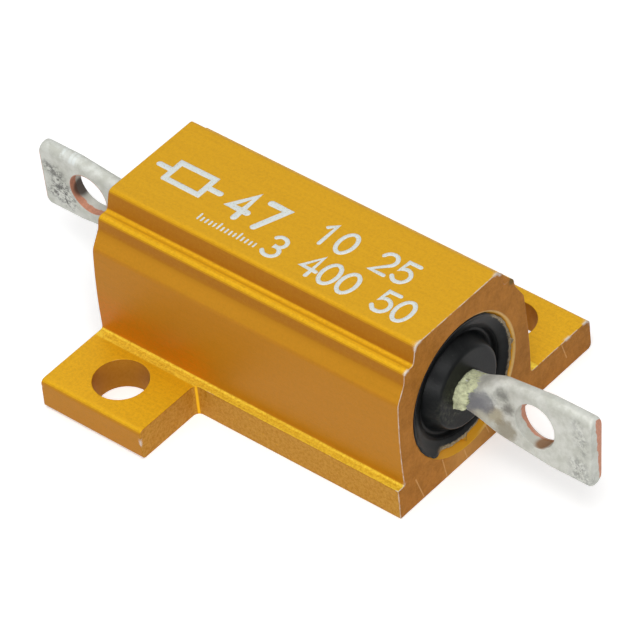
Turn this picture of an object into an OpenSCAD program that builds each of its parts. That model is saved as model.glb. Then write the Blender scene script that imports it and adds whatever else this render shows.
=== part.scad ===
// Aluminium housed wirewound power resistor with two fixing feet and eyelet terminals.
// Millimetres. X runs along the resistor, Z is up, and the underside of the housing is z = 0.
// The origin lies on the underside, midway between the two fixing holes.

/* [Housing] */
// Length of the extruded housing along X
body_l = 16.8; // [14:0.05:30]
// Height from the underside to the flat top
body_h = 8.42; // [8.2:0.02:9.4]
// Width over the outer edges of the two feet
flange_w = 16.4; // [15.6:0.05:20]
// Thickness of the feet and of the base strip
flange_t = 1.58; // [1.2:0.02:2]
// Length of each foot along X, measured from its own end of the housing
foot_l = 5.6; // [4.6:0.05:7]
// Width of the base strip where the flange is cut away
base_w = 9.25; // [8.9:0.05:10]
// Radius of the inner corner that the cutter leaves beside each foot
notch_r = 0.3; // [0.1:0.05:0.8]
// Radius along the outer edge of each foot
foot_edge_r = 0.22; // [0.05:0.01:0.5]

/* [Extruded outline] */
// Width of the side walls where they rise from the flange
wall_w = 8.4; // [8:0.05:8.7]
// How far the middle of each side wall bows out from a straight line
wall_bow = 0.08; // [0.05:0.01:0.25]
// Width across the shoulders, where the side walls end
shoulder_w = 8.26; // [8:0.02:8.5]
// Height of the slope from each shoulder up to its ridge
shoulder_h = 0.85; // [0.6:0.05:1.2]
// Radius of the shoulders and of the hollows above them
shoulder_r = 0.6; // [0.3:0.05:0.8]
// Width across the two lengthwise ridges at their foot
ridge_foot_w = 7.28; // [7:0.02:7.6]
// Width across the two lengthwise ridges at their edges
ridge_w = 7.1; // [6.8:0.02:7.4]
// Height of the ridges' upright sides
ridge_h = 0.58; // [0.5:0.01:0.9]
// Radius of the ridges' edges
ridge_r = 0.24; // [0.05:0.01:0.28]
// Width of the raised top at its foot
top_foot_w = 5.95; // [5.6:0.05:6.1]
// Width of the raised flat top
top_w = 5.45; // [4.5:0.05:5.7]
// Height of the raised flat top above the ridges
top_h = 0.94; // [0.5:0.02:1]
// Radius of the raised top's edges
top_edge_r = 0.26; // [0.05:0.01:0.3]
// Radius of the inner corners of the outline
inner_r = 0.14; // [0.05:0.01:0.2]

/* [Fixing holes] */
// Diameter of the hole through each foot
fixing_d = 2.5; // [1.8:0.05:3]

/* [Bore] */
// Diameter of the bore through the housing
bore_d = 6.16; // [5.7:0.02:6.5]
// Height of the bore's axis above the underside
bore_z = 4.06; // [3.8:0.01:4.4]
// Width and depth of the chamfer at each mouth of the bore
bore_chamfer = 0.28; // [0.05:0.01:0.4]

/* [Moulding] */
// Diameter of the round boss that each lead comes out of, at the bottom of its groove
boss_d = 4.6; // [4:0.05:4.7]
// Diameter of the flat face that each boss narrows to
boss_face_d = 3.8; // [3.2:0.05:4]
// How far each boss stands out past the end of the housing
boss_proud = 0.2; // [0:0.05:1]
// Radius of the rounded rim of each boss
boss_rim_r = 0.15; // [0.05:0.01:0.4]
// Width of the groove around each boss
groove_w = 0.25; // [0.1:0.05:0.45]
// Depth of the groove around each boss
groove_depth = 0.25; // [0.05:0.05:0.5]

/* [Resistive element] */
// Depth of moulding between each end of the housing and the element's cap
end_cover = 2.25; // [1.2:0.05:3.5]
// Diameter of the ceramic core
core_d = 3.6; // [2.6:0.05:3.9]
// Chamfer on the ends of the ceramic core
core_chamfer = 0.2; // [0.05:0.05:0.4]
// Wall thickness of the metal caps pressed on the core
cap_t = 0.25; // [0.15:0.05:0.4]
// Depth of the metal caps over the core
cap_depth = 2; // [1:0.05:3]
// Diameter of the resistance wire
winding_wire_d = 0.24; // [0.1:0.02:0.3]
// Distance between neighbouring turns of the resistance wire
winding_pitch = 0.5; // [0.4:0.02:1]

/* [Terminals] */
// Diameter of the round lead wire
lead_d = 1.6; // [1:0.05:2.2]
// Width of the flattened blade at its free end
blade_w = 3.6; // [3:0.05:4.5]
// Width of the flattened blade where it begins
blade_root_w = 3.1; // [2.4:0.05:3.6]
// Thickness of the flattened blade
blade_t = 0.7; // [0.4:0.02:1]
// Radius of the blade's long edges, at most half its thickness
blade_edge_r = 0.3; // [0.05:0.01:0.35]
// Radius of the blade's corners at its free end
blade_corner_r = 0.2; // [0.05:0.05:0.4]
// Length of lead that stays round in front of the boss
lead_neck = 0.1; // [0.05:0.05:0.5]
// Length over which the round lead widens into the blade
blade_flare = 2.2; // [1:0.05:2.3]
// Length of the left terminal outside the housing
left_reach = 6.5; // [6.2:0.05:9]
// Length of the right terminal outside the housing
right_reach = 6.95; // [6.2:0.05:9]
// Turn of the left blade about its own length, in degrees
left_twist = 2; // [0:0.5:15]
// Turn of the right blade about its own length, in degrees
right_twist = 5; // [0:0.5:15]
// How far the left blade sits above its lead
left_lift = 0.25; // [0:0.05:0.5]
// How far the right blade sits above its lead
right_lift = 0; // [0:0.05:0.5]
// Diameter of the eyelet through each blade
eyelet_d = 2.1; // [1.2:0.05:2.2]
// Distance from the end of the housing to the middle of the left eyelet
left_eyelet_x = 3.85; // [3.7:0.05:4.8]
// Distance from the end of the housing to the middle of the right eyelet
right_eyelet_x = 4; // [3.7:0.05:4.8]
// Height of the eyelet's middle above the middle of the blade
eyelet_rise = 0.1; // [0:0.05:0.3]

/* [Hidden] */

// Clearance between two pieces that seat in each other
seat_gap = 0.02;
// Overlap that keeps a cut clear of the faces it passes
cut_over = 0.5;
// Straight steps in a rounded corner and in a bowed wall
arc_steps = 5;
bow_steps = 12;

half_l = body_l / 2;
bore_r = bore_d / 2;
ridge_z = body_h - top_h;
ridge_foot_z = ridge_z - ridge_h;
shoulder_z = ridge_foot_z - shoulder_h;

// Each fixing hole lies in the middle of the part of its foot that is clear of the wall
fixing_x = body_l - foot_l;
fixing_y = (flange_w + wall_w) / 2;

element_half = half_l - end_cover;
core_half = element_half - cap_t - seat_gap;
core_r = core_d / 2;
cap_r = core_r + seat_gap + cap_t;
cap_mouth_x = core_half - cap_depth + cap_t;
winding_r = core_r + seat_gap + winding_wire_d / 2;
winding_span = 2 * (cap_mouth_x - winding_wire_d);
winding_turns = floor(winding_span / winding_pitch);
winding_cavity_r = winding_r + winding_wire_d / 2 + seat_gap;

lead_r = lead_d / 2;
// The moulding's flat ring lies at the foot of the bore's chamfer
ring_x = half_l - bore_chamfer;
boss_x = half_l + boss_proud;
boss_r = boss_d / 2;
flare_start_x = boss_x + lead_neck;
flare_end_x = flare_start_x + blade_flare;
// Step where the pressed part begins on the round lead
press_lip = 0.02;
// Largest radius of the blade's long edges, as a share of its thickness
edge_share = 0.49;
// Straight steps in each rounded corner of the blade, and along its flare
press_steps = 6;
flare_steps = 10;

aluminium_gold = [0.80, 0.55, 0.13];
moulding_black = [0.10, 0.10, 0.10];
ceramic_white = [0.88, 0.86, 0.80];
alloy_grey = [0.62, 0.60, 0.56];
steel_grey = [0.70, 0.71, 0.72];
tin_grey = [0.78, 0.79, 0.76];

// Points of the arc that rounds corner b between its neighbours a and c
function corner_arc(a, b, c, r, steps) =
    let (u = (a - b) / norm(a - b),
         v = (c - b) / norm(c - b),
         half = acos(max(-1, min(1, u * v))) / 2,
         reach = r / tan(half),
         mid = b + (u + v) / norm(u + v) * (r / sin(half)),
         p = b + u * reach - mid,
         q = b + v * reach - mid,
         sweep = atan2(p.x * q.y - p.y * q.x, p * q))
    [for (i = [0 : steps])
        let (t = sweep * i / steps)
        mid + [p.x * cos(t) - p.y * sin(t), p.x * sin(t) + p.y * cos(t)]];

// Closed outline through corners given as [x, y, radius, steps]
function rounded_outline(corners) =
    let (n = len(corners))
    [for (i = [0 : n - 1])
        let (a = corners[(i + n - 1) % n], b = corners[i], c = corners[(i + 1) % n])
        each b[2] > 0
            ? corner_arc([a.x, a.y], [b.x, b.y], [c.x, c.y], b[2], b[3])
            : [[b.x, b.y]]];

// Points between a and c on the arc that bows out by bow to the right of the line from a to c
function bowed_line(a, c, bow, steps) =
    let (along = (c - a) / norm(c - a),
         out = [along.y, -along.x],
         half_chord = norm(c - a) / 2,
         r = (half_chord * half_chord + bow * bow) / (2 * bow),
         sweep = asin(half_chord / r))
    [for (i = [1 : steps - 1])
        let (t = sweep * (2 * i / steps - 1))
        (a + c) / 2 + along * r * sin(t) + out * (r * cos(t) - r + bow)];

// The right-hand half of the extrusion's outline, from the underside to the top
wall_foot = [wall_w / 2, flange_t];
wall_head = [shoulder_w / 2, shoulder_z];
half_corners = [
    [flange_w / 2, 0, foot_edge_r, arc_steps],
    [flange_w / 2, flange_t, foot_edge_r, arc_steps],
    [wall_foot.x, wall_foot.y, inner_r, arc_steps],
    each [for (p = bowed_line(wall_foot, wall_head, wall_bow, bow_steps)) [p.x, p.y, 0, 0]],
    [wall_head.x, wall_head.y, shoulder_r, arc_steps],
    [ridge_foot_w / 2, ridge_foot_z, shoulder_r, arc_steps],
    [ridge_w / 2, ridge_z, ridge_r, arc_steps],
    [top_foot_w / 2, ridge_z, inner_r, arc_steps],
    [top_w / 2, body_h, top_edge_r, arc_steps]
];

function mirrored(corners) =
    [for (i = [len(corners) - 1 : -1 : 0]) [-corners[i].x, corners[i].y, corners[i][2], corners[i][3]]];

// Turns a shape that stands on the XY plane so that its height runs along X
module along_x() {
    multmatrix([[0, 0, 1, 0], [1, 0, 0, 0], [0, 1, 0, 0], [0, 0, 0, 1]]) children();
}

// Turns a revolved shape so that its axis lies on the axis of the bore
module on_bore_axis() {
    translate([0, 0, bore_z]) rotate([0, 90, 0]) children();
}

module extrusion() {
    translate([-half_l, 0, 0])
        along_x()
            linear_extrude(body_l)
                polygon(rounded_outline(concat(half_corners, mirrored(half_corners))));
}

// What the cutter takes off the flange beside the left foot
module flange_cut() {
    out_y = flange_w / 2 + cut_over;
    translate([0, 0, -cut_over])
        linear_extrude(flange_t + 2 * cut_over)
            polygon(rounded_outline([
                [half_l + cut_over, -out_y, 0, 0],
                [half_l + cut_over, -base_w / 2, 0, 0],
                [foot_l - half_l, -base_w / 2, notch_r, arc_steps],
                [foot_l - half_l, -out_y, 0, 0]
            ]));
}

module bore_mouth() {
    depth = bore_chamfer + cut_over;
    translate([0, 0, half_l - bore_chamfer])
        cylinder(h = depth, r1 = bore_r, r2 = bore_r + depth, $fn = 96);
}

module housing() {
    color(aluminium_gold)
        difference() {
            extrusion();
            for (turn = [0, 180])
                rotate([0, 0, turn]) {
                    flange_cut();
                    translate([-fixing_x / 2, -fixing_y / 2, -cut_over])
                        cylinder(h = flange_t + 2 * cut_over, d = fixing_d, $fn = 64);
                }
            on_bore_axis() {
                translate([0, 0, -half_l - cut_over])
                    cylinder(h = body_l + 2 * cut_over, r = bore_r, $fn = 96);
                for (end = [0, 1]) mirror([0, 0, end]) bore_mouth();
            }
        }
}

// Outline of one end of the moulding, from its middle to the boss, as radius and distance
function moulding_end() =
    let (fit_r = bore_r - seat_gap,
         groove_x = ring_x - groove_depth,
         boss_foot = [boss_r, groove_x],
         boss_rim = [boss_face_d / 2, boss_x],
         boss_middle = [0, boss_x])
    concat(
        [[0, 0], [fit_r, 0], [fit_r, ring_x],
         [boss_r + groove_w, ring_x], [boss_r + groove_w / 2, groove_x], boss_foot],
        corner_arc(boss_foot, boss_rim, boss_middle, boss_rim_r, arc_steps),
        [boss_middle]);

module moulding() {
    color(moulding_black)
        on_bore_axis()
            difference() {
                for (end = [0, 1])
                    mirror([0, 0, end]) rotate_extrude($fn = 96) polygon(moulding_end());
                element_cavity();
            }
}

// The room that the element and its leads take up in the moulding
module element_cavity() {
    lead_hole_r = lead_r + seat_gap;
    cap_hole_r = cap_r + seat_gap;
    cap_hole_x = element_half + seat_gap;
    cavity_x = cap_mouth_x - seat_gap;
    rotate_extrude($fn = 96)
        polygon([
            [0, -boss_x - cut_over], [lead_hole_r, -boss_x - cut_over],
            [lead_hole_r, -cap_hole_x], [cap_hole_r, -cap_hole_x],
            [cap_hole_r, -cavity_x], [winding_cavity_r, -cavity_x],
            [winding_cavity_r, cavity_x], [cap_hole_r, cavity_x],
            [cap_hole_r, cap_hole_x], [lead_hole_r, cap_hole_x],
            [lead_hole_r, boss_x + cut_over], [0, boss_x + cut_over]
        ]);
}

module ceramic_core() {
    color(ceramic_white)
        on_bore_axis()
            rotate_extrude($fn = 96)
                polygon([
                    [0, -core_half], [core_r - core_chamfer, -core_half], [core_r, core_chamfer - core_half],
                    [core_r, core_half - core_chamfer], [core_r - core_chamfer, core_half], [0, core_half]
                ]);
}

// Faces of a closed tube through rings of n points each, the rings one after another
function tube_faces(rings, n) =
    concat(
        [[for (j = [0 : n - 1]) j]],
        [for (i = [0 : rings - 2], j = [0 : n - 1])
            let (a = i * n + j, b = i * n + (j + 1) % n)
            [a, a + n, b + n, b]],
        [[for (j = [n - 1 : -1 : 0]) (rings - 1) * n + j]]);

// The resistance wire is one helix swept as a ring of points at every step
module resistance_winding() {
    ring_sides = 6;
    steps_per_turn = 16;
    steps = winding_turns * steps_per_turn;
    length = winding_turns * winding_pitch;
    rise = winding_pitch / (360 * winding_r * PI / 180);
    wire_r = winding_wire_d / 2;
    points = [for (i = [0 : steps], j = [0 : ring_sides - 1])
        let (turn = 360 * i / steps_per_turn,
             out = [0, cos(turn), sin(turn)],
             ahead = [rise, -sin(turn), cos(turn)] / norm([rise, 1]),
             side = cross(ahead, out),
             spin = 360 * j / ring_sides)
        [length * (i / steps - 0.5), 0, bore_z]
            + winding_r * out + wire_r * (cos(spin) * out + sin(spin) * side)];
    color(alloy_grey)
        polyhedron(points = points, faces = tube_faces(steps + 1, ring_sides), convexity = 4);
}

// A pressed metal cup over one end of the core, drawn for the right-hand end
module end_cap() {
    cup_r = core_r + seat_gap;
    floor_x = element_half - cap_t;
    color(steel_grey)
        on_bore_axis()
            rotate_extrude($fn = 96)
                polygon([
                    [0, floor_x], [cup_r, floor_x], [cup_r, cap_mouth_x], [cap_r, cap_mouth_x],
                    [cap_r, element_half - cap_t / 2], [cap_r - cap_t / 2, element_half], [0, element_half]
                ]);
}

module end_cap_right() {
    end_cap();
}

module end_cap_left() {
    mirror([1, 0, 0]) end_cap();
}

// Ring of points round a pressed lead that is w wide and t thick, with corners of radius r
function pressed_ring(w, t, r) =
    [for (corner = [0 : 3], i = [0 : press_steps])
        let (turn = 90 * (corner + i / press_steps),
             side_y = corner == 0 || corner == 3 ? 1 : -1,
             side_z = corner < 2 ? 1 : -1)
        [side_y * (t / 2 - r) + r * cos(turn), side_z * (w / 2 - r) + r * sin(turn)]];

// Goes smoothly from a to b as share goes from 0 to 1
function ease(a, b, share) = a + (b - a) * (1 - cos(180 * share)) / 2;

// One tinned lead: round at the cap, pressed flat outside, pierced and cut off square.
// It is drawn for the right-hand end. Its blade leans by twist and sits lift above the lead.
module terminal(reach, eyelet_x, twist, lift) {
    end_x = half_l + reach;
    lead_x = element_half + seat_gap;
    round_w = lead_d + 2 * press_lip;
    edge_r = min(blade_edge_r, edge_share * blade_t);
    // Each station is [distance, share of the flare, width]
    stations = concat(
        [for (i = [0 : flare_steps])
            let (share = i / flare_steps)
            [flare_start_x + blade_flare * share, share, ease(round_w, blade_root_w, share)]],
        [[(flare_end_x + end_x) / 2, 1, blade_w]],
        [for (i = [0 : arc_steps])
            let (turn = 90 * i / arc_steps)
            [end_x - blade_corner_r * (1 - sin(turn)), 1, blade_w - 2 * blade_corner_r * (1 - cos(turn))]]);
    points = [for (station = stations)
        let (share = station[1],
             t = ease(round_w, blade_t, share),
             r = ease(lead_r, edge_r, share),
             lean = ease(0, twist, share))
        for (p = pressed_ring(station[2], t, r))
            [station.x,
             p.x * cos(lean) + p.y * sin(lean),
             p.y * cos(lean) - p.x * sin(lean) + ease(0, lift, share)]];
    color(tin_grey)
        translate([0, 0, bore_z]) {
            translate([lead_x, 0, 0])
                rotate([0, 90, 0])
                    cylinder(h = flare_start_x + press_lip - lead_x, r = lead_r, $fn = 48);
            difference() {
                polyhedron(points = points, faces = tube_faces(len(stations), 4 * (press_steps + 1)));
                translate([half_l + eyelet_x, 0, lift])
                    rotate([-twist, 0, 0])
                        translate([0, 0, eyelet_rise])
                            rotate([90, 0, 0])
                                cylinder(h = lead_d + 2 * cut_over, d = eyelet_d, center = true, $fn = 64);
            }
        }
}

module terminal_right() {
    terminal(right_reach, right_eyelet_x, right_twist, right_lift);
}

module terminal_left() {
    rotate([0, 0, 180]) terminal(left_reach, left_eyelet_x, left_twist, left_lift);
}

housing();
moulding();
ceramic_core();
resistance_winding();
end_cap_left();
end_cap_right();
terminal_left();
terminal_right();
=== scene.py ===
"""Aluminium housed power resistor: finishes, print, moulding flash, residue, floor, light and camera.

Metres, in the frame of the CAD model: +X along the resistor, +Z up, the underside at z = 0.
Values named in millimetres are multiplied by MM where they are used.
"""
import math

import bmesh
import bpy
from mathutils import Matrix, Vector, noise


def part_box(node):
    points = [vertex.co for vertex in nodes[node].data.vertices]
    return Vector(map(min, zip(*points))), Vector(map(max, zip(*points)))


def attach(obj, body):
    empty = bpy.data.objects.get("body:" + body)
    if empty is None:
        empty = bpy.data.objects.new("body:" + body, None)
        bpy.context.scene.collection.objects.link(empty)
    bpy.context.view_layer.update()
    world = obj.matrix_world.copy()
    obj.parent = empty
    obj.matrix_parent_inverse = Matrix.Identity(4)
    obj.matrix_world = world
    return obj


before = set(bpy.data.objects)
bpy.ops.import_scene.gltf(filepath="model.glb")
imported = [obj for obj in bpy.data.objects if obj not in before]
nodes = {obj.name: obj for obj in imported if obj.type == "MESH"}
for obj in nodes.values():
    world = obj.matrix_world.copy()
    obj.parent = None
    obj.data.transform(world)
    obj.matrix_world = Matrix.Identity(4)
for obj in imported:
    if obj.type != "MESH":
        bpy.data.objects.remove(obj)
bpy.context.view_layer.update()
MM = 0.001

# ---------------------------------------------------------------------------------------------
# Sizes that the pieces below take from the CAD frame, in millimetres
# ---------------------------------------------------------------------------------------------


def box_mm(node):
    low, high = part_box(node)
    return low / MM, high / MM


housing_high = box_mm("housing")[1]
moulding_low, moulding_high = box_mm("moulding")
RIGHT_END = box_mm("terminal_right")[1].x
LEFT_END = box_mm("terminal_left")[0].x
HALF_L = housing_high.x
TOP_Z = housing_high.z
BORE_Z = (moulding_low.z + moulding_high.z) / 2
BORE_R = (moulding_high.z - moulding_low.z) / 2
BOSS_X = moulding_high.x
LEAD_R = 0.80
MOUTH_CHAMFER = 0.28
RING_X = HALF_L - MOUTH_CHAMFER
EYELET_R = 1.05
EYELET_X = {1: HALF_L + 4.0, -1: HALF_L + 3.85}

# ---------------------------------------------------------------------------------------------
# Camera
# ---------------------------------------------------------------------------------------------
CAMERA_AZIMUTH = 44.33
CAMERA_ELEVATION = 42.54
CAMERA_ROLL = -6.37
CAMERA_DISTANCE = 0.25292
CAMERA_TARGET = Vector((-0.87, 1.39, 1.77)) * MM
CAMERA_LENS = 333.1


def add_camera():
    data = bpy.data.cameras.new("camera")
    data.lens = CAMERA_LENS
    data.sensor_width = 36.0
    data.clip_start = 0.01
    data.clip_end = 20.0
    camera = bpy.data.objects.new("camera", data)
    bpy.context.scene.collection.objects.link(camera)
    azimuth, elevation = math.radians(CAMERA_AZIMUTH), math.radians(CAMERA_ELEVATION)
    outward = Vector((
        math.sin(azimuth) * math.cos(elevation),
        -math.cos(azimuth) * math.cos(elevation),
        math.sin(elevation)))
    aim = (-outward).to_track_quat("-Z", "Y").to_matrix().to_4x4()
    roll = Matrix.Rotation(math.radians(CAMERA_ROLL), 4, "Z")
    camera.matrix_world = Matrix.Translation(CAMERA_TARGET + outward * CAMERA_DISTANCE) @ aim @ roll
    bpy.context.scene.camera = camera


# ---------------------------------------------------------------------------------------------
# Node helper: every material is built from these few kinds of node
# ---------------------------------------------------------------------------------------------


BEVEL_SAMPLES = 6


class Graph:
    """A node material in the making. Positions in it are object coordinates in millimetres."""

    def __init__(self, name):
        self.material = bpy.data.materials.new(name)
        self.material.use_nodes = True
        self.tree = self.material.node_tree
        self.shader = self.tree.nodes["Principled BSDF"]
        coordinates = self.tree.nodes.new("ShaderNodeTexCoord")
        self.position = self.vector("MULTIPLY", coordinates.outputs["Object"], (1 / MM,) * 3)
        geometry = self.tree.nodes.new("ShaderNodeNewGeometry")
        self.normal = geometry.outputs["Normal"]
        split = self.tree.nodes.new("ShaderNodeSeparateXYZ")
        self.tree.links.new(self.position, split.inputs[0])
        self.x, self.y, self.z = split.outputs

    def put(self, socket, value):
        if isinstance(value, bpy.types.NodeSocket):
            self.tree.links.new(value, socket)
        else:
            socket.default_value = value

    def vector(self, operation, first, second=(0, 0, 0)):
        node = self.tree.nodes.new("ShaderNodeVectorMath")
        node.operation = operation
        self.put(node.inputs[0], first)
        self.put(node.inputs[1], second)
        return node.outputs["Value" if operation in ("DOT_PRODUCT", "LENGTH") else "Vector"]

    def math(self, operation, first, second=0.0, clamp=False):
        node = self.tree.nodes.new("ShaderNodeMath")
        node.operation = operation
        node.use_clamp = clamp
        for socket, value in zip(node.inputs, (first, second)):
            self.put(socket, value)
        return node.outputs[0]

    def times(self, *values):
        result = values[0]
        for value in values[1:]:
            result = self.math("MULTIPLY", result, value)
        return result

    def step(self, value, start, end):
        """0 below start and 1 above end, smooth between; the other way round if start > end."""
        node = self.tree.nodes.new("ShaderNodeMapRange")
        node.interpolation_type = "SMOOTHSTEP"
        self.put(node.inputs["Value"], value)
        low, high = min(start, end), max(start, end)
        node.inputs["From Min"].default_value = low
        node.inputs["From Max"].default_value = high
        node.inputs["To Min"].default_value = 0.0 if start < end else 1.0
        node.inputs["To Max"].default_value = 1.0 if start < end else 0.0
        return node.outputs["Result"]

    def noise(self, scale, stretch=(1, 1, 1), detail=3.0, roughness=0.5, shift=(0, 0, 0)):
        """Noise from 0 to 1 with scale features a millimetre, drawn out where stretch is small."""
        place = self.vector("MULTIPLY", self.vector("ADD", self.position, shift), stretch)
        node = self.tree.nodes.new("ShaderNodeTexNoise")
        self.put(node.inputs["Vector"], place)
        node.inputs["Scale"].default_value = scale
        node.inputs["Detail"].default_value = detail
        node.inputs["Roughness"].default_value = roughness
        return node.outputs[0]

    def spots(self, scale, size):
        """Small round spots, scale of them a millimetre, 1 inside and 0 outside."""
        node = self.tree.nodes.new("ShaderNodeTexVoronoi")
        self.put(node.inputs["Vector"], self.position)
        node.inputs["Scale"].default_value = scale
        return self.step(node.outputs["Distance"], size, size * 0.5)

    def mix(self, share, first, second):
        node = self.tree.nodes.new("ShaderNodeMix")
        node.data_type = "RGBA"
        self.put(node.inputs["Factor"], share)
        for socket, value in zip((node.inputs[6], node.inputs[7]), (first, second)):
            self.put(socket, (*value, 1.0) if isinstance(value, tuple) and len(value) == 3 else value)
        return node.outputs[2]

    def blend(self, share, first, second):
        """Plain numbers mixed by share."""
        node = self.tree.nodes.new("ShaderNodeMix")
        self.put(node.inputs["Factor"], share)
        self.put(node.inputs[2], first)
        self.put(node.inputs[3], second)
        return node.outputs[0]

    def distance(self, centre, keep=(1, 1, 1)):
        """Distance in millimetres from centre, along the axes that keep leaves."""
        away = self.vector("SUBTRACT", self.position, centre)
        return self.vector("LENGTH", self.vector("MULTIPLY", away, keep))

    def from_line(self, start, end):
        """Distance in millimetres from a straight line between two places."""
        along = Vector(end) - Vector(start)
        away = self.vector("SUBTRACT", self.position, start)
        projected = self.vector("DOT_PRODUCT", away, along)
        share = self.math("DIVIDE", projected, along.length_squared, clamp=True)
        return self.vector("LENGTH", self.vector("SUBTRACT", away, self.vector("MULTIPLY", share, along)))

    def edge(self, radius_mm):
        """1 on edges and 0 further than radius from them."""
        turned = self.vector("DOT_PRODUCT", self.rounded(radius_mm), self.normal)
        return self.step(turned, 0.995, 0.90)

    def rounded(self, radius_mm):
        """Normals as if every edge had this small radius."""
        bevel = self.tree.nodes.new("ShaderNodeBevel")
        bevel.samples = BEVEL_SAMPLES
        bevel.inputs["Radius"].default_value = radius_mm * MM
        return bevel.outputs[0]

    def bump(self, height, depth_mm, normal=None):
        node = self.tree.nodes.new("ShaderNodeBump")
        node.inputs["Strength"].default_value = 1.0
        node.inputs["Distance"].default_value = depth_mm * MM
        self.put(node.inputs["Height"], height)
        if normal is not None:
            self.put(node.inputs["Normal"], normal)
        return node.outputs[0]

    def finish(self, colour, metallic, roughness, normal):
        for name, value in (("Base Color", colour), ("Metallic", metallic),
                            ("Roughness", roughness), ("Normal", normal)):
            self.put(self.shader.inputs[name], value)
        return self.material


# ---------------------------------------------------------------------------------------------
# Shapes: meshes in millimetres, and the print's strokes
# ---------------------------------------------------------------------------------------------


def add_piece(name, shape, material, smooth=True):
    """Turns a bmesh in millimetres into a piece of the resistor that rides on the root body."""
    bmesh.ops.remove_doubles(shape, verts=shape.verts, dist=0.0008)
    bmesh.ops.recalc_face_normals(shape, faces=shape.faces)
    bmesh.ops.scale(shape, vec=(MM, MM, MM), verts=shape.verts)
    for face in shape.faces:
        face.smooth = smooth
    mesh = bpy.data.meshes.new(name)
    shape.to_mesh(mesh)
    shape.free()
    mesh.materials.append(material)
    piece = bpy.data.objects.new(name, mesh)
    bpy.context.scene.collection.objects.link(piece)
    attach(piece, "root")
    return piece


def skin(shape, rows, closed_columns=False, capped=False):
    """Faces between closed rows of points that all have the same number of points."""
    made = [[shape.verts.new(point) for point in row] for row in rows]
    count = len(made[0])
    last_row = len(made) if closed_columns else len(made) - 1
    for i in range(last_row):
        here, there = made[i], made[(i + 1) % len(made)]
        for j in range(count):
            k = (j + 1) % count
            shape.faces.new((here[j], here[k], there[k], there[j]))
    if capped:
        shape.faces.new(made[0])
        shape.faces.new(made[-1])


def arc(centre, radii, start, end, steps=14):
    """Points of an elliptic arc between two angles in degrees."""
    angles = [math.radians(start + (end - start) * i / steps) for i in range(steps + 1)]
    return [(centre[0] + radii[0] * math.cos(a), centre[1] + radii[1] * math.sin(a)) for a in angles]


# Each numeral as strokes in a box 0.6 wide and 1 high
NUMERALS = {
    "0": [arc((0.30, 0.50), (0.30, 0.50), 90, 450, 28)],
    "1": [[(0.10, 0.78), (0.34, 1.0), (0.34, 0.0)]],
    "2": [arc((0.30, 0.70), (0.29, 0.30), 165, -35) + [(0.02, 0.0), (0.60, 0.0)]],
    "3": [arc((0.28, 0.75), (0.27, 0.25), 150, -90) + arc((0.28, 0.26), (0.31, 0.26), 90, -150)],
    "4": [[(0.44, 0.0), (0.44, 1.0), (0.0, 0.32), (0.62, 0.32)]],
    "5": [[(0.56, 1.0), (0.10, 1.0), (0.05, 0.55)] + arc((0.27, 0.33), (0.32, 0.33), 115, -150)],
    "7": [[(0.0, 1.0), (0.60, 1.0), (0.20, 0.0)]],
}
INK_HEIGHT = 0.010
SYMBOL_LINE = 0.30
SYMBOL_LEAD = 0.75
TICKS = 15
TICK_START = -4.10
TICK_PITCH = 0.22
TICK_FOOT = -1.95
TICK_LINE = 0.10
NUMBER_HEIGHT = 1.25
NUMBER_LINE = 0.21


def ink_line(shape, points, width):
    """One stroke of ink: a low bead with round ends along points on the top of the housing."""
    points = [Vector(point) for point in points]
    stations = []
    for i, point in enumerate(points):
        before = (point - points[i - 1]).normalized() if i else None
        after = (points[i + 1] - point).normalized() if i + 1 < len(points) else None
        along = ((before or after) + (after or before)).normalized()
        reach = 1.0 / max(0.6, along.dot(before or after))
        stations.append((point, along, reach))
    cap = [math.radians(90 * k / 5) for k in range(6)]
    start, along_start, _ = stations[0]
    end, along_end, _ = stations[-1]
    half = width / 2
    full = [(start - along_start * half * math.cos(a), along_start, math.sin(a)) for a in cap[:-1]]
    full += stations
    full += [(end + along_end * half * math.sin(a), along_end, math.cos(a)) for a in cap[1:]]
    rows = []
    for place, along, share in full:
        across = Vector((-along.y, along.x))
        row = []
        for t, height in ((-1, 0.0), (-0.86, 0.8), (0, 1.0), (0.86, 0.8), (1, 0.0)):
            spot = place + across * half * t * share
            wobble = noise.noise(Vector((spot.x * 9, spot.y * 9, 0.5))) * 0.018
            row.append((spot.x, spot.y + wobble, TOP_Z + INK_HEIGHT * height * min(1.0, share * 2) - 0.001))
        rows.append(row)
    skin(shape, rows)


def ink_numerals(shape, text, place, height, width, pitch):
    """Plain numerals in a line from place on."""
    for i, numeral in enumerate(text):
        for stroke in NUMERALS.get(numeral, []):
            left, foot = place[0] + pitch * i, place[1]
            ink_line(shape, [(left + x * height, foot + y * height) for x, y in stroke], width)


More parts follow.
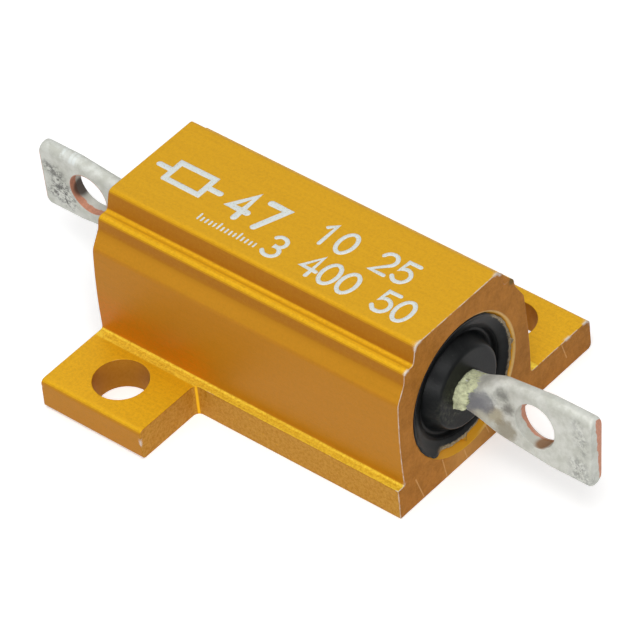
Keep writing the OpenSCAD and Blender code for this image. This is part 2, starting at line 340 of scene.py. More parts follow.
def add_print(ink):
    """A plain drawing symbol of a resistor, a scale of ticks and plain numbers."""
    symbol = bmesh.new()
    low, high, left, right = -0.80, 0.35, -6.95, -5.05
    ink_line(symbol, [(left, low), (right, low), (right, high), (left, high), (left, low)], SYMBOL_LINE)
    middle = (low + high) / 2
    ink_line(symbol, [(left - SYMBOL_LEAD, middle), (left, middle)], SYMBOL_LINE)
    ink_line(symbol, [(right, middle), (right + SYMBOL_LEAD, middle)], SYMBOL_LINE)
    add_piece("ink_symbol", symbol, ink)

    large = bmesh.new()
    ink_numerals(large, "47", (-3.55, -1.0), 1.55, 0.34, 1.45)
    add_piece("ink_large_numerals", large, ink)

    scale = bmesh.new()
    for tick in range(TICKS):
        tall = 0.34 if tick % 5 == 0 else 0.20
        x = TICK_START + TICK_PITCH * tick
        ink_line(scale, [(x, TICK_FOOT), (x, TICK_FOOT + tall)], TICK_LINE)
    add_piece("ink_scale", scale, ink)

    upper = bmesh.new()
    ink_numerals(upper, "10 25", (0.70, -0.20), NUMBER_HEIGHT, NUMBER_LINE, 1.05)
    add_piece("ink_upper_numbers", upper, ink)

    lower = bmesh.new()
    ink_numerals(lower, "3 400 50", (-0.60, -2.05), NUMBER_HEIGHT, NUMBER_LINE, 0.99)
    add_piece("ink_lower_numbers", lower, ink)


def ragged(angle, seed, fine=1.0):
    """A number round 0 that changes raggedly with an angle in degrees and comes round to itself."""
    turn = Vector((math.cos(math.radians(angle)), math.sin(math.radians(angle)), 0))
    coarse_part = noise.noise(turn * 4.0 + Vector((0, 0, seed)))
    return coarse_part + fine * noise.noise(turn * 17.0 + Vector((0, 0, seed + 5)))


def between(table, value):
    """The value between the entries of a table of (place, value) pairs, eased from one to the next."""
    for (start, low), (end, high) in zip(table, table[1:]):
        if start <= value <= end:
            share = (value - start) / (end - start)
            return low + (high - low) * share * share * (3 - 2 * share)
    return table[0][1] if value < table[0][0] else table[-1][1]


# How far the flash reaches past the bore at the right mouth, by angle in degrees, in mm. It covers
# the chamfer on the left, thins on the right and stops short at the foot.
RIGHT_REACH = [(0, 0.10), (40, 0.12), (75, 0.26), (225, 0.26), (240, -0.06), (288, -0.14), (310, 0.05),
               (360, 0.10)]
FLASH_INNER = -0.52
FLASH_TOUCH = 0.36
FLASH_STEP_DEGREES = 2
SPIKE_HALF_WIDTH = 4.0


def right_reach(angle):
    return between(RIGHT_REACH, angle)


def left_reach(angle):
    return 0.14 + 0.10 * math.cos(math.radians(angle - 60))


def add_flash(name, side, material, reach, spikes, seed):
    """Thin black flash that fills the corner of one bore mouth and creeps up its chamfer.

    reach(angle) says how far past the bore it goes, in mm. Each spike is (angle, length in mm).
    """
    shape = bmesh.new()
    rows = []
    span = FLASH_TOUCH - FLASH_INNER
    for angle in range(0, 360, FLASH_STEP_DEGREES):
        out = reach(angle) + 0.045 * ragged(angle, seed)
        for spot, length in spikes:
            away = abs((angle - spot + 180) % 360 - 180)
            out += length * max(0.0, 1 - away / SPIKE_HALF_WIDTH)
        out = min(max(out, FLASH_INNER + 0.1), MOUTH_CHAMFER + 0.02)
        steps = [FLASH_INNER + (out - FLASH_INNER) * k / 7 for k in range(8)]
        row = [(step, 0.004 + (step - FLASH_INNER) ** 2 / (2 * span)) for step in steps]
        row += [(out + 0.012, max(0.0, out) - 0.02), (0.0, -0.03), (FLASH_INNER, -0.03)]
        turn = math.radians(angle)
        rows.append([(side * min(RING_X + lift, HALF_L + 0.01),
                      (BORE_R + step) * math.cos(turn),
                      BORE_Z + (BORE_R + step) * math.sin(turn)) for step, lift in row])
    skin(shape, rows, closed_columns=True)
    add_piece(name, shape, material)


def add_burr(material):
    """A leaf of metal that the saw left in the hollow under the far ridge of the right end."""
    outline = [(2.56, 8.39), (2.70, 8.36), (2.90, 8.17), (3.06, 7.93), (3.26, 7.68), (3.50, 7.34),
               (3.34, 7.36), (3.12, 7.42), (2.96, 7.44), (2.84, 7.62), (2.76, 7.90), (2.64, 8.16)]
    shape = bmesh.new()
    rows = []
    for depth, inset in ((0.10, 0.04), (0.09, 0.0), (0.02, 0.0), (0.004, 0.02)):
        row = []
        for y, z in outline:
            wobble = 0.02 * noise.noise(Vector((y * 7, z * 7, 1.0)))
            toward = Vector((2.95 - y, 7.80 - z)).normalized() * (inset + wobble)
            row.append((HALF_L - depth, y + toward.x, z + toward.y))
        rows.append(row)
    skin(shape, rows, capped=True)
    add_piece("sawing_burr", shape, material, smooth=False)


# How far the cement reaches along the right lead and out over the boss, by angle in degrees, in mm
CEMENT_LENGTH = [(56, 0.0), (64, 1.00), (84, 1.25), (104, 1.10), (126, 0.82), (150, 0.66),
                 (178, 0.60), (200, 0.48), (216, 0.25), (222, 0.0)]
CEMENT_FOOT = [(56, 0.0), (70, 0.01), (100, 0.02), (130, 0.10), (150, 0.19), (188, 0.20),
               (201, 0.36), (210, 0.16), (222, 0.0)]
# How thick the cement is along its length, as (share of the length, share of the thickness)
CEMENT_PROFILE = [(0.10, 1.0), (0.25, 1.02), (0.42, 0.95), (0.58, 0.90), (0.74, 0.78), (0.87, 0.66),
                  (0.96, 0.45), (1.0, 0.15)]


def add_residue(material):
    """The pale cement that clings to the root of the right lead, on its left and upper side."""
    shape = bmesh.new()
    rows = []
    first, last, steps = CEMENT_LENGTH[0][0], CEMENT_LENGTH[-1][0], 83
    for i in range(steps + 1):
        angle = first + (last - first) * i / steps
        turn = math.radians(angle)
        edge = min(1.0, 9.0 * math.sin(math.pi * i / steps))
        length = edge * max(0.03, between(CEMENT_LENGTH, angle) + 0.10 * ragged(angle, 6.0, fine=1.6))
        foot = LEAD_R + edge * max(0.02, between(CEMENT_FOOT, angle) + 0.05 * ragged(angle, 2.0))
        row = [(BOSS_X - 0.05, LEAD_R - 0.10), (BOSS_X - 0.02, foot)]
        for share, height in CEMENT_PROFILE:
            x = BOSS_X + length * share
            radius = LEAD_R + edge * 0.02 + min(foot - LEAD_R, 0.22) * height
            flared = 0.85 * max(0.0, (x - BOSS_X - 0.1) / 2.2) ** 1.6 * abs(math.sin(turn))
            lump = 0.05 * noise.noise(Vector((x * 5, angle / 9, 3)))
            lump += 0.035 * noise.noise(Vector((x * 14, angle / 4, 8)))
            row.append((x, radius + flared + edge * lump))
        row.append((BOSS_X + length, LEAD_R - 0.15))
        rows.append([(x, r * math.cos(turn), BORE_Z + r * math.sin(turn)) for x, r in row])
    skin(shape, rows, capped=True)
    add_piece("cement_residue", shape, material)


# ---------------------------------------------------------------------------------------------
# Finishes
# ---------------------------------------------------------------------------------------------
# Painted light and shade: several golds below are lit or shaded copies of one anodised finish, lighter for
# up-facing surfaces and ledges, darker for sides and beside the ridge, warmer where the foot is reflected
GOLD = (0.730, 0.385, 0.008)
GOLD_SHADED_SIDE = (0.500, 0.198, 0.008)
GOLD_PAINTED_REFLECTION = (0.600, 0.165, 0.001)
GOLD_SHADE = (0.385, 0.138, 0.003)
GOLD_LIT_LEDGE = (0.930, 0.530, 0.010)
GOLD_LIT_BASE_LEDGE = (0.980, 0.720, 0.060)
GOLD_DEEP = (0.430, 0.175, 0.005)
GOLD_DULL_LIT_TOP = (0.610, 0.305, 0.006)
GOLD_CUT = (0.330, 0.118, 0.006)
GOLD_CUT_LIGHT = (0.480, 0.185, 0.022)
GOLD_MILLED = (0.560, 0.285, 0.038)
GOLD_CHAMFER = (0.680, 0.310, 0.015)
GOLD_BELOW_BORE = (0.720, 0.360, 0.090)
GOLD_BARE = (0.620, 0.290, 0.015)
GOLD_RIM = (0.800, 0.600, 0.280)
GOLD_SCRATCHED = (0.900, 0.580, 0.240)
OLIVE = (0.100, 0.075, 0.020)
RUBBER = (0.003, 0.0035, 0.004)
RUBBER_CLOUDED = (0.011, 0.012, 0.012)
RUBBER_RIM_HIGHLIGHT = (0.16, 0.17, 0.16)
DUST = (0.16, 0.16, 0.13)
POWDER = (0.20, 0.21, 0.14)
TAN_DARK = (0.30, 0.20, 0.09)
TAN = (0.50, 0.42, 0.28)
BARE_ALUMINIUM = (0.80, 0.79, 0.76)
TIN = (0.53, 0.54, 0.48)
TIN_LIGHT = (0.69, 0.70, 0.65)
TIN_DARK = (0.13, 0.13, 0.12)
TIN_TOP_HIGHLIGHT = (0.74, 0.78, 0.76)
TIN_BURR = (0.86, 0.87, 0.82)
COPPER = (0.66, 0.31, 0.20)
COPPER_DARK = (0.50, 0.23, 0.14)
COPPER_BROWN = (0.26, 0.12, 0.035)
COPPER_BURNT = (0.06, 0.04, 0.03)
CEMENT = (0.72, 0.75, 0.48)
CEMENT_DARK = (0.50, 0.52, 0.32)
CEMENT_DIRT = (0.16, 0.16, 0.12)
INK = (0.74, 0.79, 0.76)
INK_LIGHT = (0.84, 0.88, 0.86)
INK_WORN = (0.58, 0.56, 0.42)
# Shader values chosen to match the tones of the photo, and not physical ones
HOUSING_METALLIC = 0.20
HOUSING_SPECULAR = 0.30
HOUSING_TINT = (1.0, 0.80, 0.45, 1.0)
TERMINAL_METALLIC = 0.35
BLACK_SPECULAR = 0.11

# Edges of the housing rubbed through to bare metal, as (centre, radius) in mm
RUBBED = [((HALF_L, -2.62, 8.38), 0.30), ((HALF_L, -3.42, 7.44), 0.16), ((HALF_L, 2.66, 8.38), 0.30),
          ((HALF_L, -4.20, 1.60), 0.10), ((-2.8, -8.2, 0.95), 0.20), ((-8.4, -8.2, 1.25), 0.05),
          ((HALF_L, 6.7, 1.58), 0.22), ((HALF_L, 8.0, 1.5), 0.25)]
# Light scratches, each from one place to another in mm
SCRATCHES = [((HALF_L, -1.76, 1.14), (HALF_L, -1.57, 0.0)), ((HALF_L, -0.36, 0.61), (HALF_L, -0.22, 0.0)),
             ((HALF_L, 1.10, 0.85), (HALF_L, 1.26, 0.38)), ((HALF_L, -3.49, 1.36), (HALF_L, -3.10, 0.10)),
             ((HALF_L, 6.30, 1.50), (HALF_L, 6.55, 0.60))]
# The light upright line beside each foot, from one place to another in mm
LIGHT_UPRIGHT_LINES = [((-2.70, -4.66, 1.52), (-2.70, -4.66, 0.0)), ((2.70, 4.66, 1.52), (2.70, 4.66, 0.0))]
# Places and radius of the fixing holes, in mm
FIXING_PLACES = [(-5.6, -6.2, 0), (5.6, 6.2, 0)]
FIXING_R = 1.25

# Dirt on the near faces of the terminals, as (centre, radius) in mm
RIGHT_DIRT = [((14.6, -0.4, 5.4), 0.32), ((14.8, -0.4, 4.7), 0.42), ((15.0, -0.4, 4.1), 0.25),
              ((14.7, -0.4, 3.2), 0.50), ((15.1, -0.4, 2.7), 0.35), ((14.5, -0.4, 2.6), 0.30)]
LEFT_DIRT = [((-14.5, -0.35, 4.9), 0.40), ((-14.0, -0.35, 4.8), 0.40), ((-13.9, -0.35, 4.1), 0.60),
             ((-13.9, -0.35, 3.6), 0.60), ((-13.5, -0.35, 3.4), 0.50), ((-14.5, -0.35, 3.6), 0.35)]
# Painted highlights on the rounded top of the left terminal, by x in mm
LEFT_TOP_HIGHLIGHTS = [-13.62, -13.10, -12.90]
# Stains at the root of the right terminal, as (centre, radius, colour)
ROOT_STAINS = [((10.4, -0.6, 3.8), 0.45, (0.36, 0.30, 0.18)), ((10.9, -0.5, 3.2), 0.50, (0.26, 0.22, 0.14)),
               ((9.5, -0.8, 4.0), 0.55, (0.11, 0.11, 0.14)), ((9.8, -0.7, 4.3), 0.60, (0.11, 0.11, 0.14)),
               ((10.7, -0.5, 5.0), 0.32, (0.13, 0.13, 0.12)), ((11.0, -0.5, 4.4), 0.32, (0.12, 0.11, 0.10)),
               ((11.0, -0.5, 5.9), 0.40, (0.55, 0.57, 0.54)), ((9.7, -0.7, 3.6), 0.25, (0.50, 0.48, 0.38))]
# Discoloured place on the wall of each eyelet
BURNT = {1: (12.7, -0.1, 3.05), -1: (-13.2, 0.20, 4.05)}


def nearest(g, distances):
    result = distances[0]
    for distance in distances[1:]:
        result = g.math("MINIMUM", result, distance)
    return result


def anodised_aluminium():
    g = Graph("anodised_aluminium")
    # Surfaces that face along X were sawn, and the others carry the die's fine streaks
    facing_x = g.math("ABSOLUTE", g.vector("DOT_PRODUCT", g.normal, (1, 0, 0)))
    facing_y = g.math("ABSOLUTE", g.vector("DOT_PRODUCT", g.normal, (0, 1, 0)))
    facing_up = g.step(g.vector("DOT_PRODUCT", g.normal, (0, 0, 1)), 0.35, 0.9)
    sawn = g.step(facing_x, 0.75, 0.85)
    # The milled side of the base strip, the milled end of each foot and the drilled holes
    low = g.step(g.z, 1.6, 1.5)
    strip = g.times(g.step(facing_y, 0.8, 0.95), low, g.step(g.math("ABSOLUTE", g.y), 4.8, 4.7))
    foot_end = g.times(sawn, low, g.step(g.math("ABSOLUTE", g.x), HALF_L - 0.5, HALF_L - 1.0))
    from_holes = nearest(g, [g.distance(place, keep=(1, 1, 0)) for place in FIXING_PLACES])
    drilled = g.times(g.step(from_holes, FIXING_R + 0.03, FIXING_R + 0.01), low)
    milled = g.math("MAXIMUM", g.math("MAXIMUM", strip, foot_end), drilled)
    streaks = g.noise(9.0, stretch=(0.04, 1, 1), detail=5.0, roughness=0.7)
    grain = g.noise(7.0, detail=6.0, roughness=0.85)
    cloud = g.noise(0.45, detail=4.0)
    tone = g.math("ADD", g.times(streaks, 0.25), g.times(grain, 0.75))
    # Painted shade beside and under the ridge, and painted light on the ledges beside the walls and on the
    # tops of the feet
    beside_ridge = g.times(g.step(g.z, 6.55, 6.85), g.step(facing_y, 0.45, 0.85))
    from_middle = g.math("ABSOLUTE", g.y)
    ridge_ledge = g.times(g.step(g.z, 7.65, 7.55), g.step(g.z, 7.2, 7.35), g.step(from_middle, 2.80, 2.95))
    beneath = g.step(g.z, 1.75, 1.65)
    base_ledge = g.times(beneath, g.step(from_middle, 4.75, 4.65))
    foot_top = g.times(beneath, facing_up, 0.30)
    # Painted light and shade: up-facing surfaces get the lit gold, sides the darker shaded gold
    bright = g.mix(facing_up, g.mix(beside_ridge, GOLD_SHADED_SIDE, GOLD_SHADE), GOLD)
    bright = g.mix(g.math("MAXIMUM", foot_top, g.times(facing_up, ridge_ledge, 0.4)), bright, GOLD_LIT_LEDGE)
    bright = g.mix(g.times(facing_up, base_ledge), bright, GOLD_LIT_BASE_LEDGE)
    # A thin darker line along each ridge ledge
    thin_dark_line = g.step(g.math("ABSOLUTE", g.math("SUBTRACT", from_middle, 3.20)), 0.08, 0.02)
    bright = g.mix(g.times(thin_dark_line, ridge_ledge, 0.5), bright, GOLD_SHADE)
    # Painted reflection: a warmer tone low on the wall beside each foot, where the foot's gold is
    # reflected. along is x, turned round on the far side
    along = g.times(g.x, g.step(g.y, 0.1, -0.1))
    along = g.math("ADD", along, g.times(g.x, g.step(g.y, -0.1, 0.1), -1.0))
    low_on_wall = g.times(g.step(g.z, 4.4, 2.4), g.step(g.z, 1.5, 1.7), g.step(facing_y, 0.7, 0.9))
    painted_reflection = g.times(low_on_wall, g.step(along, -1.2, -3.2))
    bright = g.mix(g.times(painted_reflection, 0.75), bright, GOLD_PAINTED_REFLECTION)
    # Painted light and shade: the deep grain tone is lighter on up-facing surfaces than on sides
    deep = g.mix(facing_up, GOLD_DEEP, GOLD_DULL_LIT_TOP)
    extruded = g.mix(g.step(tone, 0.36, 0.60), deep, bright)
    extruded = g.mix(g.times(cloud, 0.4), extruded, bright)
    mottle = g.noise(6.5, detail=6.0, roughness=0.8)
    fleck = g.step(g.noise(6.0, detail=5.0, roughness=0.8, shift=(4, 1, 7)), 0.58, 0.70)
    broad = g.noise(1.6, detail=5.0, roughness=0.7, shift=(2, 2, 5))
    patchy = g.math("ADD", g.times(mottle, 0.5), g.times(broad, 0.5))
    cut_colour = g.mix(g.step(patchy, 0.36, 0.64), GOLD_CUT, GOLD_CUT_LIGHT)
    below_bore = g.times(g.step(from_middle, 2.2, 0.6), g.step(g.z, 1.1, 0.7), g.blend(patchy, 0.4, 1.0))
    cut_colour = g.mix(g.times(below_bore, 0.7), cut_colour, GOLD_BELOW_BORE)
    from_axis = g.distance((0, 0, BORE_Z), keep=(0, 1, 1))
    mouth_r = BORE_R + MOUTH_CHAMFER
    chamfer = g.times(g.step(from_axis, mouth_r + 0.02, mouth_r), g.step(facing_x, 0.9, 0.8))
    extruded = g.mix(chamfer, extruded, GOLD_CHAMFER)
    milled_colour = g.mix(g.step(mottle, 0.36, 0.60), GOLD_DEEP, GOLD_MILLED)
    milled_colour = g.mix(g.times(fleck, 0.6), milled_colour, GOLD)
    # Painted shade: the walls of the drilled holes take the shaded side gold
    milled_colour = g.mix(g.times(drilled, 0.7), milled_colour, GOLD_SHADED_SIDE)
    colour = g.mix(g.math("MAXIMUM", sawn, milled), extruded, g.mix(milled, cut_colour, milled_colour))
    # The dull olive tip of the burr under the far ridge
    tip = g.step(g.distance((HALF_L, 3.50, 7.36)), 0.30, 0.12)
    tip = g.times(tip, g.step(g.x, HALF_L - 0.15, HALF_L - 0.10))
    colour = g.mix(g.times(tip, 0.8), colour, OLIVE)
    # Bare metal where the anodising is rubbed off the edges of the right end, and a little elsewhere
    near_right = g.step(g.x, HALF_L - 0.20, HALF_L - 0.08)
    outer = g.step(from_axis, BORE_R + 0.4, BORE_R + 0.5)
    patches = g.step(g.noise(3.0, detail=5.0, roughness=0.7), 0.42, 0.54)
    near_side = g.times(g.step(g.y, -2.45, -2.60), g.blend(patches, 0.40, 0.85))
    along_top = g.times(g.step(g.z, TOP_Z - 0.2, TOP_Z - 0.1), g.step(g.y, 2.6, 2.3))
    along_top = g.times(along_top, g.blend(patches, 0.15, 0.9))
    far_foot = g.times(g.step(g.y, 4.2, 4.4), g.step(g.z, 1.3, 1.45), patches, 0.7)
    line = g.times(near_right, outer, g.math("MAXIMUM", g.math("MAXIMUM", near_side, along_top), far_foot))
    rare = g.step(g.noise(1.7, detail=4.0, roughness=0.7, shift=(7, 3, 1)), 0.60, 0.68)
    worn = g.times(g.edge(0.07), g.math("MAXIMUM", line, g.times(rare, 0.25)))
    fray = g.times(g.noise(5.0, detail=4.0, roughness=0.7), 0.5)
    wide_edge = g.edge(0.24)
    for centre, size in RUBBED:
        spot = g.step(g.math("ADD", g.distance(centre), fray), size + 0.30, size + 0.15)
        worn = g.math("MAXIMUM", worn, g.times(wide_edge, spot, 0.85))
    colour = g.mix(worn, colour, BARE_ALUMINIUM)
    # The pale rim of the chamfer on the right of the bore mouth
    rim = g.times(near_right, g.step(from_axis, BORE_R + 0.20, BORE_R + 0.26),
                  g.step(from_axis, BORE_R + 0.36, BORE_R + 0.30))
    rim = g.times(rim, g.step(g.y, 0.2, 1.6), g.step(grain, 0.25, 0.50), 0.55)
    colour = g.mix(rim, colour, GOLD_RIM)
    from_scratches = nearest(g, [g.from_line(start, end) for start, end in SCRATCHES])
    scratched = g.times(g.step(from_scratches, 0.045, 0.015), g.step(grain, 0.35, 0.50))
    colour = g.mix(g.times(scratched, 0.40), colour, GOLD_SCRATCHED)
    from_light_lines = nearest(g, [g.from_line(start, end) for start, end in LIGHT_UPRIGHT_LINES])
    colour = g.mix(g.step(from_light_lines, 0.10, 0.04), colour, GOLD_LIT_LEDGE)
    cut = g.math("MAXIMUM", sawn, milled)
    roughness = g.blend(cut, g.blend(grain, 0.40, 0.50), g.blend(mottle, 0.50, 0.62))
    height = g.blend(cut, g.math("ADD", g.times(streaks, 0.3), g.times(grain, 0.7)), mottle)
    normal = g.bump(height, 0.012, g.rounded(0.06))
    g.shader.inputs["Specular Tint"].default_value = HOUSING_TINT
    g.shader.inputs["Specular IOR Level"].default_value = HOUSING_SPECULAR
    return g.finish(colour, HOUSING_METALLIC, roughness, normal)


def black_moulding(name):
    """Black silicone with dust. At the foot and the right of the bore its edge is frayed and shows tan."""
    g = Graph(name)
    cloud = g.noise(1.6, detail=5.0, roughness=0.65)
    grain = g.noise(16.0, detail=4.0, roughness=0.7)
    fray = g.noise(6.0, detail=5.0, roughness=0.75)
    dust = g.spots(5.0, 0.10)
    colour = g.mix(g.step(cloud, 0.3, 0.8), RUBBER, RUBBER_CLOUDED)
    colour = g.mix(g.times(dust, g.step(grain, 0.45, 0.6), 0.35), colour, DUST)
    # Powder from the cement on the boss, and a painted highlight along the boss's front rim
    powder = g.times(g.step(g.distance((BOSS_X, -1.0, BORE_Z - 0.2)), 1.4, 0.4), g.step(fray, 0.45, 0.65))
    colour = g.mix(g.times(powder, 0.25), colour, POWDER)
    rim = g.times(g.edge(0.05), g.step(g.x, BOSS_X - 0.12, BOSS_X - 0.06))
    colour = g.mix(g.times(rim, g.step(fray, 0.35, 0.60), 0.35), colour, RUBBER_RIM_HIGHLIGHT)
    uneven = g.times(g.math("SUBTRACT", fray, 0.5), 0.30)
    radius = g.math("ADD", g.distance((0, 0, BORE_Z), keep=(0, 1, 1)), uneven)
    from_foot = g.math("ABSOLUTE", g.math("ADD", g.y, 0.3))
    foot = g.times(g.step(g.z, BORE_Z - 2.3, BORE_Z - 2.6), g.step(from_foot, 1.7, 1.2))
    right = g.step(g.y, 1.9, 2.3)
    flat = g.step(g.x, RING_X - 0.15, RING_X - 0.05)
    frayed_foot = g.times(g.step(radius, BORE_R - 0.22, BORE_R - 0.15), foot, flat)
    frayed_right = g.times(g.step(radius, BORE_R, BORE_R + 0.07), right, flat)
    tan = g.mix(g.step(grain, 0.35, 0.65), TAN_DARK, TAN)
    colour = g.mix(g.times(g.math("MAXIMUM", frayed_foot, frayed_right), 0.95), colour, tan)
    bare = g.times(g.step(radius, BORE_R - 0.07, BORE_R - 0.04), foot, flat)
    colour = g.mix(bare, colour, GOLD_BARE)
    roughness = g.blend(cloud, 0.24, 0.38)
    g.shader.inputs["Specular IOR Level"].default_value = BLACK_SPECULAR
    return g.finish(colour, 0.0, roughness, g.bump(grain, 0.006, g.rounded(0.14)))


def cement():
    g = Graph("cement")
    lumps = g.noise(5.0, detail=6.0, roughness=0.7)
    cracks = g.noise(16.0, detail=5.0, roughness=0.75)
    dirt = g.step(g.noise(3.0, detail=5.0, roughness=0.7, shift=(2, 5, 1)), 0.56, 0.70)
    colour = g.mix(g.step(lumps, 0.35, 0.60), CEMENT_DARK, CEMENT)
    colour = g.mix(g.times(dirt, 0.6), colour, CEMENT_DIRT)
    height = g.math("ADD", lumps, g.times(cracks, 0.5))
    return g.finish(colour, 0.0, g.blend(cracks, 0.65, 0.9), g.bump(height, 0.05))


def ink():
    g = Graph("ink")
    grain = g.noise(11.0, detail=5.0, roughness=0.7)
    speck = g.step(g.noise(17.0, detail=3.0, shift=(1, 4, 0)), 0.56, 0.66)
    colour = g.mix(g.times(speck, 0.7), g.mix(grain, INK, INK_LIGHT), INK_WORN)
    return g.finish(colour, 0.0, g.blend(grain, 0.45, 0.65), g.bump(grain, 0.010))


def tinned_copper(name, side):
    """Tin over copper, with copper bare where it was punched.

    side is 1 for the right terminal and -1 for the left one.
    """
    g = Graph(name)
    blotch = g.noise(1.3, detail=6.0, roughness=0.68)
    grain = g.noise(9.0, detail=6.0, roughness=0.75)
    soot = g.noise(4.5, detail=6.0, roughness=0.8, shift=(3 * side, 0, 2))
    colour = g.mix(g.step(blotch, 0.34, 0.66), TIN, TIN_LIGHT)
    if side < 0:
        colour = g.mix(0.06, colour, TIN_DARK)
        # Painted highlight: the rounded top of the left terminal is lighter, most of all at a few places
        # along it
        on_top = g.step(g.z, 5.75, 5.95)
        from_top_highlights = nearest(g, [g.distance((x, 0, 0), keep=(1, 0, 0)) for x in LEFT_TOP_HIGHLIGHTS])
        light = g.math("MAXIMUM", g.times(g.step(from_top_highlights, 0.14, 0.04), 0.9), 0.25)
        colour = g.mix(g.times(on_top, light, g.step(blotch, 0.35, 0.6)), colour, TIN_TOP_HIGHLIGHT)
    colour = g.mix(g.times(g.step(grain, 0.35, 0.20), 0.5), colour, TIN_DARK)
    # Dirt in a few places, each as (centre, radius)
    strength = 0.55 if side > 0 else 0.85
    for centre, size in RIGHT_DIRT if side > 0 else LEFT_DIRT:
        near = g.step(g.math("ADD", g.distance(centre), g.times(soot, 0.5)), size + 0.50, size)
        colour = g.mix(g.times(near, g.step(soot, 0.44, 0.58), strength), colour, TIN_DARK)
    if side > 0:
        for centre, size, stain in ROOT_STAINS:
            near = g.step(g.math("ADD", g.distance(centre), g.times(soot, 0.7)), size + 0.55, size + 0.20)
            stained = g.mix(g.times(grain, 0.3), stain, TIN)
            colour = g.mix(g.times(near, g.blend(grain, 0.6, 1.0)), colour, stained)
        # The burr at the upper corner of the free end
        burr = g.step(g.from_line((15.1, -0.35, 5.75), (15.35, -0.2, 5.95)), 0.08, 0.03)
        colour = g.mix(g.times(burr, 0.8), colour, TIN_BURR)
    eyelet = (side * EYELET_X[side], 0, BORE_Z + (0.1 if side > 0 else 0.35))
    radius = g.distance(eyelet, keep=(1, 0, 1))
    in_hole = g.step(radius, EYELET_R + 0.03, EYELET_R + 0.01)
    wander = g.math("SUBTRACT", g.noise(3.0, detail=4.0, shift=(0, 9, 0)), 0.5)
    ragged_y = g.math("ADD", g.y, g.times(wander, 0.3))
    bare_half = g.step(ragged_y, 0.08, 0.13) if side > 0 else g.step(ragged_y, 0.02, -0.03)
    end_x = RIGHT_END if side > 0 else -LEFT_END
    free_end = g.step(g.times(g.x, side), end_x - 0.03, end_x - 0.015)
    copper = g.times(g.math("MAXIMUM", in_hole, free_end), bare_half)
    colour = g.mix(copper, colour, g.mix(g.step(grain, 0.3, 0.7), COPPER, COPPER_DARK))
    burnt = g.times(in_hole, g.step(g.distance(BURNT[side]), 0.55, 0.30))
    colour = g.mix(g.times(burnt, 0.9), colour, COPPER_BROWN if side > 0 else COPPER_BURNT)
    roughness = g.blend(blotch, 0.52, 0.68)
    return g.finish(colour, TERMINAL_METALLIC, roughness, g.bump(grain, 0.020, g.rounded(0.06)))


def plain_finish(name, scale, dark, light, metallic, roughness, depth_mm, stretch=(1, 1, 1), detail=4.0):
    """A finish of one noise, for the element inside, which only shows with the housing taken away."""
    g = Graph(name)
    grain = g.noise(scale, stretch=stretch, detail=detail)
    return g.finish(g.mix(grain, dark, light), metallic, roughness, g.bump(grain, depth_mm))


def give(node, material):
    for slot in nodes[node].material_slots:
        slot.material = material


# ---------------------------------------------------------------------------------------------
# Floor and light
# ---------------------------------------------------------------------------------------------
FLOOR_COLOUR = (0.86, 0.86, 0.86)
FLOOR_GLOW = 0.42
FLOOR_R = 3.0
FLOOR_Z = -0.00002
WORLD_LIGHT = 0.06


def seen_as_background(tree):
    """1 for the rays that show the background: straight to the camera, mirrored, or through glass."""
    path = tree.nodes.new("ShaderNodeLightPath")
    result = path.outputs["Is Camera Ray"]
    for kind in ("Glossy", "Transmission"):
        node = tree.nodes.new("ShaderNodeMath")
        node.operation = "MAXIMUM"
        tree.links.new(result, node.inputs[0])
        tree.links.new(path.outputs["Is %s Ray" % kind], node.inputs[1])
        result = node.outputs[0]
    return result


def add_floor():
    mesh = bpy.data.meshes.new("floor")
    shape = bmesh.new()
    bmesh.ops.create_circle(shape, cap_ends=True, segments=96, radius=FLOOR_R)
    shape.to_mesh(mesh)
    shape.free()
    floor = bpy.data.objects.new("floor", mesh)
    bpy.context.scene.collection.objects.link(floor)
    floor.location.z = FLOOR_Z
    material = bpy.data.materials.new("floor")
    material.use_nodes = True
    tree = material.node_tree
    shader = tree.nodes["Principled BSDF"]
    shader.inputs["Base Color"].default_value = (*FLOOR_COLOUR, 1)
    shader.inputs["Roughness"].default_value = 0.9
    shader.inputs["Specular IOR Level"].default_value = 0.0
    glow = tree.nodes.new("ShaderNodeMath")
    glow.operation = "MULTIPLY"
    glow.inputs[1].default_value = FLOOR_GLOW
    tree.links.new(seen_as_background(tree), glow.inputs[0])
    shader.inputs["Emission Color"].default_value = (1, 1, 1, 1)
    tree.links.new(glow.outputs[0], shader.inputs["Emission Strength"])
    mesh.materials.append(material)


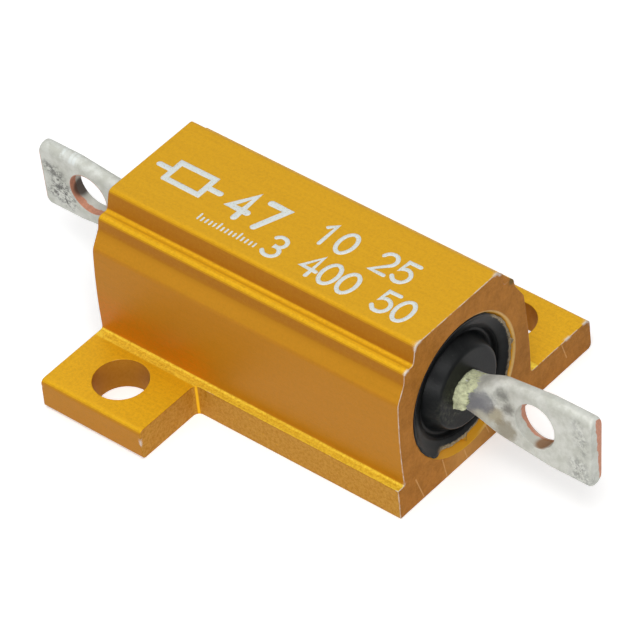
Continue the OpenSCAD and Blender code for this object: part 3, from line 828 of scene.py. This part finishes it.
def add_world():
    world = bpy.data.worlds.new("studio")
    bpy.context.scene.world = world
    world.use_nodes = True
    tree = world.node_tree
    background = tree.nodes["Background"]
    background.inputs["Color"].default_value = (1, 1, 1, 1)
    strength = tree.nodes.new("ShaderNodeMapRange")
    tree.links.new(seen_as_background(tree), strength.inputs["Value"])
    strength.inputs["To Min"].default_value = WORLD_LIGHT
    strength.inputs["To Max"].default_value = 1.0
    tree.links.new(strength.outputs["Result"], background.inputs["Strength"])


def add_softbox(name, place, size, power):
    data = bpy.data.lights.new(name, "AREA")
    data.shape = "RECTANGLE"
    data.size, data.size_y = size
    data.energy = power
    light = bpy.data.objects.new(name, data)
    bpy.context.scene.collection.objects.link(light)
    light.location = place
    light.rotation_euler = (-Vector(place)).to_track_quat("-Z", "Y").to_euler()


def add_lights():
    add_softbox("overhead", (-0.05, 0.05, 0.45), (0.45, 0.45), 0.92)
    add_softbox("key", (0.14, -0.17, 0.40), (0.25, 0.25), 0.92)
    add_softbox("left_front", (-0.25, -0.40, 0.09), (0.30, 0.08), 0.12)
    add_softbox("right_front", (0.23, -0.34, 0.10), (0.07, 0.14), 0.50)


# ---------------------------------------------------------------------------------------------
# The scene
# ---------------------------------------------------------------------------------------------
bpy.context.scene.view_settings.view_transform = "Standard"
add_camera()
add_world()
add_floor()
add_lights()

housing_finish = anodised_aluminium()
give("housing", housing_finish)
give("moulding", black_moulding("black_moulding"))
give("terminal_right", tinned_copper("tinned_copper_right", 1))
give("terminal_left", tinned_copper("tinned_copper_left", -1))
give("ceramic_core", plain_finish("ceramic", 9.0, (0.72, 0.69, 0.62), (0.80, 0.78, 0.72), 0.0, 0.6, 0.01))
give("resistance_winding", plain_finish(
    "resistance_alloy", 14.0, (0.40, 0.37, 0.33), (0.56, 0.53, 0.48), 1.0, 0.35, 0.004, detail=3.0))
steel = plain_finish(
    "cap_steel", 8.0, (0.50, 0.51, 0.52), (0.64, 0.65, 0.66), 1.0, 0.32, 0.005, stretch=(0.2, 1, 1))
give("end_cap_left", steel)
give("end_cap_right", steel)

add_print(ink())
flash = black_moulding("black_flash")
add_flash("flash_right", 1, flash, right_reach, [(2, 0.12), (268, 0.20), (330, 0.05)], 11.0)
add_flash("flash_left", -1, flash, left_reach, [(140, 0.10), (250, 0.10)], 23.0)
add_residue(cement())
add_burr(housing_finish)
